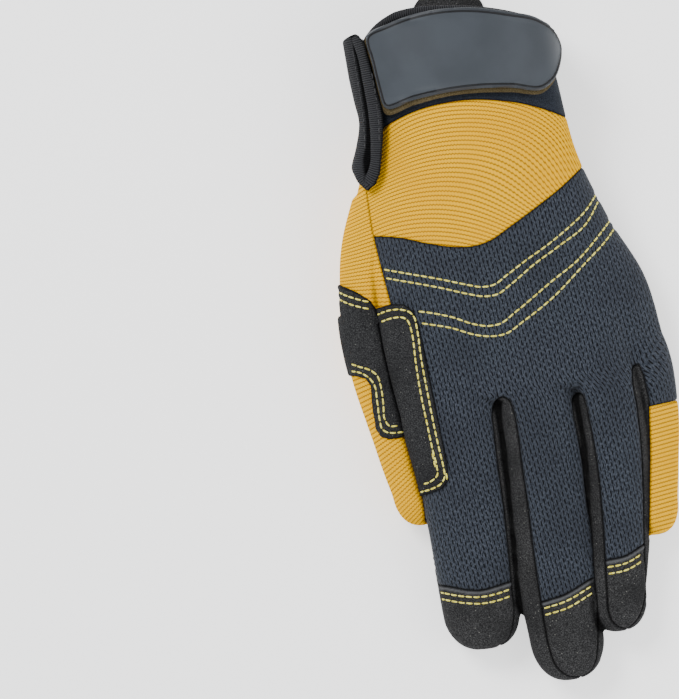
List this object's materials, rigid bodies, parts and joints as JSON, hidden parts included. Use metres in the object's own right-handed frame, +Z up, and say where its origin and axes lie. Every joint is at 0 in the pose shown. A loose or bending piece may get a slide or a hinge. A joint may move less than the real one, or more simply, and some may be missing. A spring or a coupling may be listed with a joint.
{
  "type": "thorn-proof gardening glove",
  "caption": "Left-hand work and gardening glove with suede palm, ribbed knit wrist yoke and thumb, mesh back, closing wrist strap and pull tab, lying palm down.",
  "frame": {"origin": "under the middle of the glove's box, on the surface that it lies on", "axes": "+Z up out of the back of the hand, fingers towards -Y, cuff towards +Y, thumb towards -X"},
  "size_m": [0.1158, 0.2524, 0.0497],
  "materials": {
    "suede": "matt speckled microfibre suede",
    "air_mesh": "knitted mesh with rows of small dashes",
    "yellow_knit": "ribbed stretch knit",
    "neoprene": "smooth cloth-faced neoprene",
    "grained_leather": "pebble grain, satin",
    "ribbed_tape": "woven ribbed edge tape",
    "moulded_rubber": "satin moulded rubber",
    "thread": "pale yellow sewing thread"
  },
  "bodies": {
    "root": {"back_panel": "air_mesh", "wrist_yoke": "yellow_knit", "palm_panel": "suede", "thumb_back": "yellow_knit", "thumb_front": "suede", "index_cap": "suede", "middle_cap": "suede", "ring_cap": "suede", "pinky_back": "yellow_knit", "side_wall_index_middle": "suede", "side_wall_middle_ring": "suede", "side_wall_ring_pinky": "suede", "index_patch": "suede", "thumb_patch": "suede", "palm_overlay": "suede", "index_tip_patch": "grained_leather", "thumb_tip_patch": "grained_leather", "cuff": "neoprene", "cuff_binding": "ribbed_tape", "slit_binding": "ribbed_tape", "strap": "neoprene", "strap_plate": "moulded_rubber", "pull_tab": "suede"}
  },
  "joints": []
}
